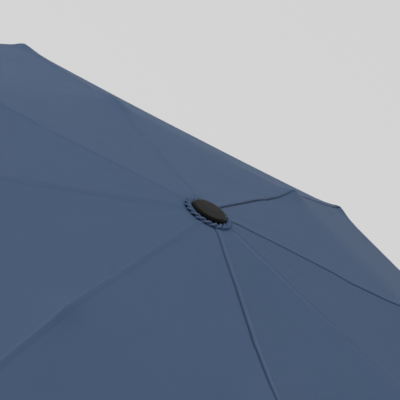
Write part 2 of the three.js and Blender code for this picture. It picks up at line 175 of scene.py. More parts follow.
def flowing(points, steps=6):
    """A smooth line through the points of an outline (Catmull-Rom)."""
    points = [np.array(p, float) for p in points]
    ends = [2 * points[0] - points[1], *points, 2 * points[-1] - points[-2]]
    made = []
    for a, b, c, d in zip(ends, ends[1:], ends[2:], ends[3:]):
        for t in np.arange(steps) / steps:
            made.append(0.5 * (2 * b + (c - a) * t + (2 * a - 5 * b + 4 * c - d) * t**2
                               + (3 * b - a - 3 * c + d) * t**3))
    return made + [points[-1]]


# ---- Materials ---------------------------------------------------------------------------------


class Nodes:
    """A short way to write a material's nodes."""

    def __init__(self, name, color, roughness, metallic=0.0):
        self.material = bpy.data.materials.new(name)
        self.material.use_nodes = True
        self.tree = self.material.node_tree
        self.shader = self.tree.nodes["Principled BSDF"]
        self.shader.inputs["Base Color"].default_value = (*color, 1)
        self.shader.inputs["Roughness"].default_value = roughness
        self.shader.inputs["Metallic"].default_value = metallic
        self.place = self.add("ShaderNodeTexCoord").outputs["Object"]

    def add(self, kind, **settings):
        node = self.tree.nodes.new(kind)
        for key, value in settings.items():
            setattr(node, key, value)
        return node

    def link(self, source, target):
        self.tree.links.new(source, target)

    def noise(self, scale, detail=3.0, stretch=(1, 1, 1)):
        mapping = self.add("ShaderNodeMapping")
        mapping.inputs["Scale"].default_value = stretch
        node = self.add("ShaderNodeTexNoise")
        node.inputs["Scale"].default_value = scale
        node.inputs["Detail"].default_value = detail
        self.link(self.place, mapping.inputs["Vector"])
        self.link(mapping.outputs["Vector"], node.inputs["Vector"])
        return node.outputs["Fac"]

    def between(self, factor, low, high):
        node = self.add("ShaderNodeMapRange")
        node.inputs["To Min"].default_value = low
        node.inputs["To Max"].default_value = high
        self.link(factor, node.inputs["Value"])
        return node.outputs["Result"]

    def tint(self, factor, dark, light):
        node = self.add("ShaderNodeMix", data_type="RGBA")
        node.inputs["A"].default_value = (*dark, 1)
        node.inputs["B"].default_value = (*light, 1)
        self.link(factor, node.inputs["Factor"])
        self.link(node.outputs["Result"], self.shader.inputs["Base Color"])
        return node.outputs["Result"]

    def bump(self, height, distance, strength):
        node = self.add("ShaderNodeBump")
        node.inputs["Strength"].default_value = strength
        node.inputs["Distance"].default_value = distance
        self.link(height, node.inputs["Height"])
        self.link(node.outputs["Normal"], self.shader.inputs["Normal"])

    def rough(self, factor, low, high):
        self.link(self.between(factor, low, high), self.shader.inputs["Roughness"])


def scaled(color, factor):
    return tuple(min(1.0, c * factor) for c in color)


def woven(name, color, threads=3300, attribute="weave"):
    """A plain weave. The attribute holds the cloth's own two directions in metres, and a factor of painted
    shade and painted highlight near the seams.
    """
    m = Nodes(name, color, 0.72)
    m.shader.inputs["Specular IOR Level"].default_value = 0.01
    cloth = m.add("ShaderNodeAttribute", attribute_name=attribute)
    parts = m.add("ShaderNodeSeparateXYZ")
    m.link(cloth.outputs["Vector"], parts.inputs["Vector"])
    waves = []
    for axis in ("X", "Y"):
        turn = m.add("ShaderNodeMath", operation="MULTIPLY")
        turn.inputs[1].default_value = threads
        m.link(parts.outputs[axis], turn.inputs[0])
        wave = m.add("ShaderNodeMath", operation="SINE")
        m.link(turn.outputs[0], wave.inputs[0])
        waves.append(wave.outputs[0])
    weave = m.add("ShaderNodeMath", operation="MULTIPLY")
    m.link(waves[0], weave.inputs[0])
    m.link(waves[1], weave.inputs[1])
    m.bump(weave.outputs[0], 0.00006, 0.35)
    cloud = m.tint(m.noise(26, 4), scaled(color, 0.97), scaled(color, 1.03))
    # Painted shade and painted highlight: the colour is scaled by the attribute's third value, darker in the
    # seams' creases and lighter where light catches their folds.
    painted_shade = m.add("ShaderNodeVectorMath", operation="SCALE")
    m.link(cloud, painted_shade.inputs[0])
    m.link(parts.outputs["Z"], painted_shade.inputs["Scale"])
    m.link(painted_shade.outputs["Vector"], m.shader.inputs["Base Color"])
    m.rough(m.noise(60, 3), 0.66, 0.78)
    return m.material


def moulded(name, color, roughness, grain=900, specular=0.4):
    """Moulded plastic with a fine spark-eroded grain and slight rubbing."""
    m = Nodes(name, color, roughness)
    m.shader.inputs["Specular IOR Level"].default_value = specular
    m.bump(m.noise(grain, 2), 0.00005, 0.5)
    m.tint(m.noise(70, 3), scaled(color, 0.85), scaled(color, 1.2))
    m.rough(m.noise(130, 4), roughness - 0.07, roughness + 0.08)
    return m.material


def enamelled(name, color):
    m = Nodes(name, color, 0.38, 0.2)
    m.shader.inputs["Coat Weight"].default_value = 0.25
    m.bump(m.noise(420, 2), 0.00003, 0.5)
    m.tint(m.noise(90, 4), scaled(color, 0.8), scaled(color, 1.25))
    m.rough(m.noise(160, 4), 0.3, 0.46)
    return m.material


def plated(name, color):
    """Plated steel with fine drawing lines round the tube."""
    m = Nodes(name, color, 0.22, 1.0)
    lines = m.noise(120, 4, (1, 1, 26))
    m.bump(lines, 0.00002, 0.35)
    m.tint(m.noise(60, 3), scaled(color, 0.92), scaled(color, 1.05))
    m.rough(lines, 0.16, 0.3)
    return m.material


def drawn_fibre(name, color):
    m = Nodes(name, color, 0.34)
    strands = m.noise(900, 2, (1, 1, 1))
    m.bump(strands, 0.00004, 0.4)
    m.tint(strands, scaled(color, 0.75), scaled(color, 1.35))
    m.rough(m.noise(200, 3), 0.28, 0.42)
    return m.material


SLATE = (0.0356, 0.0487, 0.0856)
CLOTH = woven("pongee", SLATE)
WEBBING = woven("strap_webbing", scaled(SLATE, 0.82), threads=5200)
THREAD = woven("sewing_thread", scaled(SLATE, 1.5), threads=9000)
CAP_BLACK = moulded("cap_black", (0.0036, 0.0035, 0.0032), 0.5, specular=0.03)
HUB_BLACK = moulded("hub_black", (0.014, 0.014, 0.015), 0.5)
GRIP_BLACK = moulded("grip_black", (0.017, 0.0165, 0.016), 0.58, grain=620)
ENAMEL = enamelled("black_enamel", (0.016, 0.016, 0.018))
PLATED = plated("plated_steel", (0.44, 0.45, 0.46))
FIBRE = drawn_fibre("fibreglass", (0.011, 0.011, 0.013))


def dress(obj, material):
    obj.data.materials.clear()
    obj.data.materials.append(material)


# ---- The canopy's surface ------------------------------------------------------------------------

TOP_SLOPE = 8
MIDDLE_SLOPE = 17
OUTER_SLOPE = 30
OUTER_BEND = 10  # the outer rods bend down this far over their length
OUTER_LENGTH = 165 * MM
HEM_INSET = 8.5 * MM  # from the end of the rod to the hem
RIB_LIFT = 2.6 * MM  # underside of the cloth above a top rib's centre line
OVER_ELBOW = -0.85 * MM  # and above the elbow's and the knee's pins
OVER_KNEE = 3.65 * MM
HUB_TOP = 3.9 * MM  # cloth above the pivots, round the shaft
HUB_R = 15.5 * MM
HUB_DIP = 1.6 * MM  # the gathered ring presses the cloth down this far
HUB_DIP_R = 21 * MM
PROFILE_STEP = 1 * MM
PROFILE_EASE = 9  # steps on each side that soften a bend in the profile
SAG = 0.004  # of a panel's width, in the middle of the panel
SCALLOP = 0.035  # of the hem's radius
RING_R = 9 * MM  # where the canopy's pieces begin, under the gathered ring


def direction(slope):
    a = math.radians(slope)
    return np.array([math.cos(a), -math.sin(a)])


def normal(slope):
    a = math.radians(slope)
    return np.array([math.sin(a), math.cos(a)])


def rib_profile():
    """The cloth's line over a rib, from the hub to the hem, as points a step apart along it."""
    lift = RIB_LIFT + SHEET_OFFSET
    corners = [np.array([0.0, CROWN[1] + HUB_TOP]), np.array([HUB_R, CROWN[1] + HUB_TOP])]
    corners.append(CROWN + direction(TOP_SLOPE) * 145 * MM + normal(TOP_SLOPE) * lift)
    corners.append(ELBOW + normal(MIDDLE_SLOPE) * (OVER_ELBOW + SHEET_OFFSET))
    over = OVER_KNEE + SHEET_OFFSET
    reach = np.linspace(0, OUTER_LENGTH - HEM_INSET, 12)
    bend_radius = OUTER_LENGTH / math.radians(OUTER_BEND)
    for s in reach:
        slope = OUTER_SLOPE + math.degrees(s / bend_radius)
        sunk = bend_radius * (1 - math.cos(s / bend_radius))
        forward = bend_radius * math.sin(s / bend_radius)
        start = KNEE + direction(OUTER_SLOPE) * forward - normal(OUTER_SLOPE) * sunk
        corners.append(start + normal(slope) * over)
    corners = np.array(corners)
    lengths = np.concatenate([[0], np.cumsum(np.linalg.norm(np.diff(corners, axis=0), axis=1))])
    steps = np.arange(0, lengths[-1], PROFILE_STEP)
    line = np.stack([np.interp(steps, lengths, corners[:, i]) for i in (0, 1)], axis=1)
    line[:, 1] -= HUB_DIP * np.clip((HUB_DIP_R - line[:, 0]) / (6 * MM), 0, 1)
    return eased(line, PROFILE_EASE)


def eased(line, steps):
    """A line of points with its bends drawn out over so many steps on each side."""
    padded = np.concatenate([2 * line[0] - line[steps:0:-1], line, 2 * line[-1] - line[-2 : -steps - 2 : -1]])
    window = np.hanning(2 * steps + 3)[1:-1]
    window /= window.sum()
    return np.stack([np.convolve(padded[:, i], window, "valid") for i in (0, 1)], axis=1)


PROFILE = rib_profile()
SOFT_PROFILE = eased(PROFILE, 60)
PROFILE_LENGTH = (len(PROFILE) - 1) * PROFILE_STEP
ELBOW_REACH = float(np.argmin(np.abs(PROFILE[:, 0] - ELBOW[0])) * PROFILE_STEP)
KNEE_REACH = float(np.argmin(np.abs(PROFILE[:, 0] - KNEE[0])) * PROFILE_STEP)

# Small lifts of the cloth over a rib: where along it, how high, how long, and how wide across.
TENTS = [
    (ELBOW_REACH, 2.8 * MM, 21 * MM, 10 * MM),
    (KNEE_REACH, 2.4 * MM, 10 * MM, 10 * MM),
]
TIE_REACH = 124 * MM  # a stitch ties the cloth to the top rib here
TIE = (0.55 * MM, 6 * MM)


def on_profile(reach, profile=PROFILE):
    """Radius and height over a rib at a distance along the cloth, with the straight run on past its end."""
    steps = np.clip(reach, 0, None) / PROFILE_STEP
    last = len(profile) - 1
    low = np.clip(np.floor(steps).astype(int), 0, last - 1)
    share = steps - low
    return profile[low] + (profile[low + 1] - profile[low]) * share[..., None]


def seam_wander(reach, rib):
    """The seam isn't quite straight: it strays to the side by a fraction of a millimetre."""
    fade = np.clip(reach / (60 * MM), 0, 1) * np.clip((PROFILE_LENGTH - reach) / (60 * MM), 0, 1)
    waves = np.sin(reach / (31 * MM) + 1.7 * rib) + 0.6 * np.sin(reach / (13 * MM) + 2.9 * rib)
    return 0.55 * MM * fade * waves


def lifted(points, reach, distance, rib):
    """Raises the cloth over the elbow and the knee, and puckers it along the seam."""
    lift = np.zeros_like(reach)
    for place, height, length, width in TENTS:
        lift += height * np.exp(-(((reach - place) / length) ** 2) - (distance / width) ** 2)
    depth, length = TIE
    lift -= depth * np.exp(-(((reach - TIE_REACH) / length) ** 2) - (distance / (4 * MM)) ** 2)
    near = np.exp(-((distance / (9 * MM)) ** 2)) * np.clip((reach - 20 * MM) / (20 * MM), 0, 1)
    pucker = np.sin(reach / (3.1 * MM) + 0.7 * rib) * 0.05 + np.sin(reach / (7.7 * MM) + rib) * 0.07
    lift += pucker * MM * near
    points[..., 2] += lift
    return points


def wrinkles(reach, across, panel):
    """Long soft folds that fan out from the hub, and slack ripples towards the hem."""
    fan = np.exp(-(((reach - 70 * MM) / (60 * MM)) ** 2)) * 0.11 * MM
    fold = np.sin(across * (19 + panel % 3) + 1.3 * panel) * np.sin(math.pi * across)
    slack = np.clip((reach - 300 * MM) / (180 * MM), 0, 1) ** 2 * 0.7 * MM
    ripple = np.sin(reach / (34 * MM) + 5 * across + 1.9 * panel) * np.sin(2 * math.pi * across + panel)
    broad = np.sin(reach / (85 * MM) + 0.9 * panel) * np.sin(math.pi * across) * 0.5 * MM
    grown = np.clip(reach / (150 * MM), 0, 1)
    return fan * fold + slack * ripple * np.sin(math.pi * across) + broad * grown


def panel_point(reach, across, panel, profile=PROFILE):
    """A point of the cloth. across runs from 0 at this panel's first rib to 1 at the next rib."""
    flat = on_profile(reach, profile)
    radius, height = flat[..., 0], flat[..., 1]
    a = panel * TURN
    width = 2 * radius * math.sin(TURN / 2)
    middle = 4 * across * (1 - across)
    out = np.clip((radius - HUB_R) / (30 * MM), 0, 1)
    x = radius * ((1 - across) * math.cos(a) + across * math.cos(a + TURN))
    y = radius * ((1 - across) * math.sin(a) + across * math.sin(a + TURN))
    z = height - SAG * width * middle * out + wrinkles(reach, across, panel) * out
    points = np.stack([x, y, z], axis=-1)
    after = (panel + 1) % RIBS
    lifted(points, reach, across * width, panel)
    lifted(points, reach, (1 - across) * width, after)
    for side, rib, share in ((a, panel, 1 - across), (a + TURN, after, across)):
        stray = seam_wander(reach, rib) * share**6
        points[..., 0] += -math.sin(side) * stray
        points[..., 1] += math.cos(side) * stray
    return points


# ---- The canopy's pieces -------------------------------------------------------------------------

SECTIONS = ("top", "middle", "outer")
# Painted shading along each seam: how much darker each seam's crease is painted than the cloth, as painted
# shade, and the edge of the allowance beside it. Below nothing is painted lighter, as a painted highlight
# where light catches the fold. Chosen from the photograph, one seam at a time.
SEAM_PAINTED_SHADING = (0.58, 0.15, -0.2, 0.08, -0.1, 0.45, -0.24, 0.52)
EDGE_PAINTED_SHADING = (0, 0.05, 0.1, 0.05, 0.08, -0.2, 0.24, -0.08)
ROW_STEP = 2.6 * MM
FIRST_COLUMNS = [0, 0.35, 0.8, 1.6, 2.9, 4.4, 5.0, 5.6, 8, 12]  # millimetres from the seam line
OTHER_COLUMNS = 14
ALLOWANCE = (4.4 * MM, 5.0 * MM)  # the folded seam allowance ends between these, on one side
ALLOWANCE_RISE = 0.3 * MM
SEAM_DIP = 0.42 * MM
HEM_FOLD = 8 * MM
HEM_RISE = 0.22 * MM
HEM_DROP = 0.35 * MM


def hem_reach(across):
    return PROFILE_LENGTH * (1 - SCALLOP * 4 * across * (1 - across))


def columns(reach):
    """Shares across a half panel, close together at the seam, for each distance along the rib."""
    half = np.maximum(on_profile(reach)[..., 0] * math.sin(TURN / 2), 1e-6)
    near = np.array(FIRST_COLUMNS) * MM
    fit = np.minimum(1, half * 0.55 / near[-1])[:, None]
    first = near[None, :] * fit / half[:, None]
    rest = np.linspace(0, 1, OTHER_COLUMNS + 1)[1:][None, :]
    return 0.5 * np.concatenate([first, first[:, -1:] + (1 - first[:, -1:]) * rest], axis=1)


def square_to_rib(reach, share):
    """The distance along the cloth for a line that leaves the rib at a right angle."""
    return reach / (1 - share * (1 - math.cos(TURN)))


def half_panel_grid(section):
    """Distances along and shares across for one half panel's section, row after row."""
    limits = {
        "top": (RING_R, ELBOW_REACH),
        "middle": (ELBOW_REACH, KNEE_REACH),
        "outer": (KNEE_REACH, PROFILE_LENGTH),
    }
    low, high = limits[section]
    rows = np.linspace(low, high, int(round((high - low) / ROW_STEP)) + 1)
    if section == "outer":
        ends = np.array([HEM_FOLD + 1 * MM, HEM_FOLD, HEM_FOLD - 0.5 * MM, 4 * MM, 1 * MM, 0.3 * MM, 0])
        rows = np.concatenate([rows[rows < high - HEM_FOLD - 2 * MM], high - ends])
    share = columns(rows)
    reach = rows[:, None] * np.ones_like(share)
    if section != "outer":
        return square_to_rib(reach, share), share
    progress = ((rows - low) / (high - low))[:, None]
    start = square_to_rib(np.full_like(share, low), share)
    end = hem_reach(share)
    inside = start + (end - start) * progress
    from_hem = high - rows
    hemmed = end - from_hem[:, None]
    blend = np.clip((60 * MM - from_hem) / (60 * MM - HEM_FOLD - 2 * MM), 0, 1)[:, None]
    return inside * (1 - blend) + hemmed * blend, share


def surface(reach, share, panel, far, profile=PROFILE):
    """Points and normals of the bare cloth for a half panel: its first half, or its far half."""
    def at(reach, across):
        return panel_point(reach, across, panel, profile)

    across = 1 - share if far else share
    points = at(reach, across)
    tiny, sliver = 0.2 * MM, 0.002
    along = at(reach + tiny, across) - at(reach - tiny, across)
    side = at(reach, across + sliver) - at(reach, across - sliver)
    normals = np.cross(along, side)
    normals /= np.linalg.norm(normals, axis=-1, keepdims=True)
    return points, normals


def seam_relief(reach, share, rib, far):
    """How far the sewn layers stand out of the bare cloth."""
    distance = share * 2 * on_profile(reach)[..., 0] * math.sin(TURN / 2)
    pushed = sum(np.exp(-(((reach - place) / (1.3 * length)) ** 2)) for place, _, length, _ in TENTS)
    depth = SEAM_DIP if SEAM_PAINTED_SHADING[rib] > 0.3 else 0.3 * SEAM_DIP
    dip = -depth * np.exp(-((distance / (0.7 * MM)) ** 2)) * np.clip(1 - 1.4 * pushed, 0, 1)
    if far:
        return dip
    low, high = ALLOWANCE
    step = np.clip((high - distance) / (high - low), 0, 1) * np.clip(distance / (0.35 * MM), 0, 1)
    return dip + ALLOWANCE_RISE * step


def painted_seam_shading(reach, distance, rib, far):
    """The painted shade in a seam's crease and the painted highlight beside it, as a share of the cloth's
    colour, which varies a little along it.
    """
    along = 0.75 + 0.25 * np.sin(reach / (47 * MM) + 2.3 * rib)
    painted_crease = SEAM_PAINTED_SHADING[rib] * np.exp(-((distance / (0.95 * MM)) ** 2))
    if not far:
        painted_crease = painted_crease + EDGE_PAINTED_SHADING[rib] * np.exp(-(((distance - 2.4 * MM) / (1.1 * MM)) ** 2))
    return 1 - along * painted_crease * np.clip((reach - 12 * MM) / (10 * MM), 0, 1)


def rib_normals(reach, rib):
    """Which way is up from a rib, so that the two halves of a seam meet exactly."""
    tiny = 1 * MM
    run = on_profile(reach + tiny) - on_profile(np.clip(reach - tiny, 0, None))
    a = rib * TURN
    up = np.stack([-run[..., 1] * math.cos(a), -run[..., 1] * math.sin(a), run[..., 0]], axis=-1)
    return up / np.linalg.norm(up, axis=-1, keepdims=True)


def smooth_normals(points, flip):
    """Area-weighted normals of a grid of points."""
    along = np.gradient(points, axis=0)
    side = np.gradient(points, axis=1)
    normals = np.cross(along, side)
    normals /= np.linalg.norm(normals, axis=-1, keepdims=True) + 1e-12
    return -normals if flip else normals


def keep_normals(mesh, normals):
    mesh.normals_split_custom_set_from_vertices([tuple(n) for n in normals])


def store_weave_and_painted_shade(mesh, coords, painted_shade=1.0):
    """Keeps where each point lies in the flat cloth, in metres, and how light or dark the cloth is painted,
    as painted shade and painted highlight near the seams.
    """
    layer = mesh.attributes.new("weave", "FLOAT_VECTOR", "POINT")
    flat = np.empty((len(coords), 3), np.float32)
    flat[:, :2] = coords
    flat[:, 2] = painted_shade
    layer.data.foreach_set("vector", flat.ravel())


def canopy_piece(section, rib, far):
    """One half panel's stretch over one rib section: the half after the rib, or the half before it."""
    panel = (rib - 1) % RIBS if far else rib
    reach, share = half_panel_grid(section)
    points, normals = surface(reach, share, panel, far)
    relief = seam_relief(reach, share, rib, far)
    if section == "outer":
        hem = hem_reach(share) - reach
        relief = relief + HEM_RISE * np.clip((HEM_FOLD - hem) / (0.5 * MM), 0, 1)
    distance = share * 2 * on_profile(reach)[..., 0] * math.sin(TURN / 2)
    from_rib = np.exp(-((distance / (3 * MM)) ** 2))[..., None]
    out = normals * (1 - from_rib) + rib_normals(reach, rib) * from_rib
    points = points + out * relief[..., None]
    shading = smooth_normals(points, far)
    shading[0] = normals[0]
    if section != "outer":
        shading[-1] = normals[-1]
    shading[:, -1] = normals[:, -1]
    slack = surface(reach, share, panel, far, SOFT_PROFILE)[1] - normals
    shading += slack * np.clip(distance / (45 * MM), 0, 1)[..., None]
    shading /= np.linalg.norm(shading, axis=-1, keepdims=True)
    flat = np.stack([reach, -distance if far else distance], axis=-1)
    if section == "outer":
        points, shading, flat = folded_hem(points, shading, flat, normals)
    rows, count = points.shape[:2]
    faces = grid_faces(rows, count)
    if not far:
        faces = [f[::-1] for f in faces]
    side = "before" if far else "after"
    made = new_object(f"canopy_{section}_{rib + 1}_{side}", points.reshape(-1, 3), faces)
    # Painted shade in the seams' creases and painted highlight on their folds, kept with the cloth's flat
    # coordinates.
    painted_shade = np.ones(len(points.reshape(-1, 3)))
    painted_shade[: reach.size] *= painted_seam_shading(reach, distance, rib, far).ravel()
    store_weave_and_painted_shade(made.data, flat.reshape(-1, 2), painted_shade)
    up = shading.reshape(-1, 3)
    keep_normals(made.data, up)
    dress(made, CLOTH)
    return made, points


def folded_hem(points, shading, flat, normals):
    """Turns the cloth's edge under and runs it back inside, as a sewn hem does."""
    edge = points[-1]
    inward = points[-5] - edge
    inward /= np.linalg.norm(inward, axis=-1, keepdims=True)
    out = normals[-1]
    lines = [(0.25, -0.4), (3, -1.0), (7.6, -1.0)]
    extra, extra_shade, extra_flat = [], [], []
    for run, drop in lines:
        extra.append(edge + inward * run * MM + out * drop * HEM_DROP)
        extra_shade.append(-out if run > 1 else -inward)
        extra_flat.append(flat[-1] + np.array([run * MM, 0]))
    return (
        np.concatenate([points, np.stack(extra)]),
        np.concatenate([shading, np.stack(extra_shade)]),
        np.concatenate([flat, np.stack(extra_flat)]),
    )


def gather(piece, points, section):
    """Finds a piece's directions along its rib and across it, and gives the piece its own copy of its mesh.
    """
    line = points[:, 0]
    along = line[-1] - line[0] if section != "outer" else points[-8, 0] - line[0]
    along /= np.linalg.norm(along)
    middle = len(points) // 2
    across = points[middle, -1] - points[middle, 0]
    across -= along * float(across @ along)
    across /= np.linalg.norm(across)
    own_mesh(piece)


def sheet_size(piece):
    """A piece's area, and the flat rectangle that it is cut from."""
    area = sum(p.area for p in piece.data.polygons)
    co = np.array([v.co for v in piece.data.vertices])
    axes = np.linalg.svd(co - co.mean(0), full_matrices=False)[2][:2]
    sizes = [float(np.ptp((co - co.mean(0)) @ axis)) for axis in axes]
    return area, sizes


def build_canopy():
    made = []
    for rib in range(RIBS):
        for section in SECTIONS:
            for far in (False, True):
                piece, points = canopy_piece(section, rib, far)
                body = f"{section}_rib_{rib + 1}"
                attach(piece, body)
                gather(piece, points, section)
                area, sizes = sheet_size(piece)
                area = min(area, sizes[0] * sizes[1])
                made.append(piece)
    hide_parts("canopy")
    return made


build_canopy()


# ---- The gathered ring and the cap ---------------------------------------------------------------

CAP_SIDES = 160
RING_STRANDS = 2
RING_TWISTS = 10
RING_MIDDLE = 14.3 * MM  # radius of the rope's centre line
RING_SPREAD = 1.15 * MM  # of each strand's centre from the rope's
STRAND_R = 1.25 * MM
RING_FLATTEN = 0.66
RING_BASE = CROWN[1] + 2.2 * MM


def cap_outline():
    low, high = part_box("top_cap")
    rim = high.x
    top = high.z
    under = top - 3.3 * MM
    stem = 3.6 * MM
    corners = [
        [0, low.z], [stem, low.z], [stem, under], [rim - 1.0 * MM, under], [rim, under + 0.5 * MM],
        [rim, top - 1.1 * MM], [rim - 1.1 * MM, top], [0, top],
    ]
    return rounded(corners, 0.5 * MM, 5)


def build_cap():
    cap = turned("cap_moulding", cap_outline(), CAP_SIDES, closed=False)
    sharpen(cap, 40)
    dress(cap, CAP_BLACK)
    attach(cap, "shaft_top")
    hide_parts("top_cap")


def build_ring():
    """The canopy's edge, gathered and twisted round the cap into two strands like a rope."""
    around, section = 900, 28
    points, coords, faces = [], [], []
    for strand in range(RING_STRANDS):
        first = len(points)
        for i in range(around):
            a = 2 * math.pi * i / around
            turn = RING_TWISTS * a + 2 * math.pi * strand / RING_STRANDS
            uneven = 1 + 0.10 * math.sin(3 * a + strand) + 0.07 * math.sin(8 * a + 2 * strand)
            r_mid = RING_MIDDLE + RING_SPREAD * math.cos(turn)
            z_mid = RING_BASE + RING_FLATTEN * (RING_SPREAD + STRAND_R + RING_SPREAD * math.sin(turn))
            for j in range(section):
                t = 2 * math.pi * j / section
                fold = 1 + 0.11 * math.sin(3 * t + 2.0 * turn) + 0.05 * math.sin(7 * t + 9 * a)
                reach = STRAND_R * uneven * fold
                r = r_mid + reach * math.cos(t)
                z = z_mid + RING_FLATTEN * reach * math.sin(t)
                points.append((r * math.cos(a), r * math.sin(a), z))
                coords.append((r_mid * a, reach * t))
        for i in range(around):
            for j in range(section):
                k, m = (i + 1) % around, (j + 1) % section
                row, after = first + i * section, first + k * section
                faces.append((row + j, after + j, after + m, row + m))
    ring = new_object("gathered_ring", points, faces)
    face_outward(ring)
    store_weave_and_painted_shade(ring.data, coords)
    dress(ring, CLOTH)
    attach(ring, "shaft_top")
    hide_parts("ruffle_ring")


build_cap()
build_ring()


# ---- The closing strap ---------------------------------------------------------------------------

STRAP_RIB = 5  # counted from 0
STRAP_BESIDE = 16 * MM  # its middle line, from the rib
STRAP_WIDTH = 12 * MM
STRAP_THICK = 0.8 * MM
STRAP_START, STRAP_END = 77 * MM, 155 * MM  # along the outer rod, from the knee
STRAP_LIFT = 0.55 * MM  # of the band's underside, above the cloth


def strap_point(along, sideways, height):
    """A point over the cloth beside the strap's rib. along is measured from the knee."""
    reach = np.array([[KNEE_REACH + along]])
    width = 2 * on_profile(reach)[..., 0] * math.sin(TURN / 2)
    across = (STRAP_BESIDE + sideways) / width
    tiny = 1 * MM
    at = panel_point(reach, across, STRAP_RIB)[0, 0]
    ahead = panel_point(reach + tiny, across, STRAP_RIB)[0, 0] - at
    side = panel_point(reach, across + tiny / width, STRAP_RIB)[0, 0] - at
    up = np.cross(ahead, side)
    return at + up / np.linalg.norm(up) * height


def build_strap():
    """A woven band with rounded edges. One end is sewn into the hem and the other is folded and stitched."""
    half = STRAP_WIDTH / 2
    thin = STRAP_THICK / 2
    section = []
    for t in np.linspace(0, 2 * math.pi, 28, endpoint=False):
        x, y = math.cos(t), math.sin(t)
        section.append((half * np.sign(x) * abs(x) ** 0.28, thin * np.sign(y) * abs(y) ** 0.6))
    rows = 64
    points, coords = [], []
    for i, along in enumerate(np.linspace(STRAP_START, STRAP_END, rows)):
        from_end = min(along - STRAP_START, STRAP_END - along)
        narrow = 1 - 0.5 * max(0.0, 1 - from_end / (1.2 * MM)) ** 2
        folded = 0.45 * MM * max(0.0, min(1.0, (13 * MM - (along - STRAP_START)) / (0.8 * MM)))
        wave = 0.22 * MM * math.sin(along / (7.5 * MM))
        for x, y in section:
            height = STRAP_LIFT + thin + wave + y * narrow + (folded if y > 0 else 0)
            points.append(strap_point(along, x * narrow, height))
            coords.append((along, x))
    count = len(section)
    faces = grid_faces(rows, count, wrap=True)
    faces.append(tuple(range(count)))
    faces.append(tuple(range((rows - 1) * count, rows * count))[::-1])
    band = new_object("strap_band", points, faces)
    face_outward(band)
    sharpen(band, 50)
    store_weave_and_painted_shade(band.data, coords)
    dress(band, WEBBING)
    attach(band, f"outer_rib_{STRAP_RIB + 1}")
    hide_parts("closing_strap")
    return band


def stitch(name, ends, radius=0.14 * MM):
    """A row of short raised stitches between two places on the strap."""
    (a0, s0), (a1, s1) = ends
    length = math.hypot(a1 - a0, s1 - s0)
    count = max(2, int(length / (2.2 * MM)))
    run = strap_point(a1, s1, 1 * MM) - strap_point(a0, s0, 1 * MM)
    run /= np.linalg.norm(run)
    points, faces, coords = [], [], []
    ring, steps = 6, 7
    for n in range(count):
        first = len(points)
        for i in range(steps):
            t = i / (steps - 1)
            share = (n + 0.12 + 0.76 * t) / count
            along, sideways = a0 + (a1 - a0) * share, s0 + (s1 - s0) * share
            arch = math.sin(math.pi * t)
            middle = strap_point(along, sideways, STRAP_LIFT + STRAP_THICK + 0.42 * MM + 0.12 * MM * arch)
            outward = strap_point(along, sideways, STRAP_LIFT + STRAP_THICK + 2 * MM) - middle
            outward /= np.linalg.norm(outward)
            side = np.cross(run, outward)
            size = radius * (0.35 + 0.65 * arch)
            for j in range(ring):
                turn = 2 * math.pi * j / ring
                points.append(middle + (outward * math.cos(turn) + side * math.sin(turn)) * size)
                coords.append((along, sideways))
        faces += [tuple(first + v for v in f) for f in grid_faces(steps, ring, wrap=True)]
        faces.append(tuple(range(first, first + ring)))
        faces.append(tuple(range(first + (steps - 1) * ring, first + steps * ring))[::-1])
    row = new_object(name, points, faces)
    face_outward(row)
    store_weave_and_painted_shade(row.data, coords)
    dress(row, THREAD)
    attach(row, f"outer_rib_{STRAP_RIB + 1}")
    return row


def build_stitches():
    inner, outer = STRAP_START + 2 * MM, STRAP_START + 12 * MM
    half = STRAP_WIDTH / 2 - 1.4 * MM
    stitch("strap_stitch_1", ((inner, -half), (inner, half)))
    stitch("strap_stitch_2", ((outer, -half), (outer, half)))
    stitch("strap_stitch_3", ((inner, -half), (outer, -half)))
    stitch("strap_stitch_4", ((inner, half), (outer, half)))


def build_snap():
    """The press stud: a domed cap with a rolled edge and a small dimple, sunk into the folded end."""
    outline = flowing([
        [0, 0.95], [0.9, 1.0], [1.7, 1.25], [2.6, 1.5], [3.5, 1.42], [4.1, 1.1], [4.4, 0.65], [4.35, 0.3],
        [4.0, 0.05],
    ], 5)
    outline = [[max(0.0, r) * MM, z * MM] for r, z in outline] + [[0, 0]]
    stud = turned("strap_stud", outline, 72, closed=False)
    place = strap_point(STRAP_START + 7 * MM, 0, STRAP_LIFT + STRAP_THICK + 0.35 * MM)
    up = Vector(strap_point(STRAP_START + 7 * MM, 0, STRAP_LIFT + STRAP_THICK + 3 * MM) - place)
    turn = up.to_track_quat("Z", "Y").to_matrix().to_4x4()
    stud.data.transform(Matrix.Translation(Vector(place)) @ turn)
    sharpen(stud, 60)
    dress(stud, PLATED)
    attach(stud, f"outer_rib_{STRAP_RIB + 1}")
    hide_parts("strap_snap")


build_strap()
build_stitches()
build_snap()


# ---- Handle and shaft ----------------------------------------------------------------------------


def mm_outline(points):
    return [[r * MM, z * MM] for r, z in points]


def lathed(name, node, body, outline, material, sides=128, closed=True, radius=0.35):
    """A turned piece that stands for one CAD node. Its outline's corners are rounded."""
    made = turned(name, rounded(outline, radius * MM, 4), sides, closed)
    sharpen(made, 50)
    dress(made, material)
    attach(made, body)
    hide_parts(node)
    return made


def tube_outline(node, wall=0.5 * MM):
    low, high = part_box(node)
    return [[high.x - wall, low.z], [high.x, low.z], [high.x, high.z], [high.x - wall, high.z]]


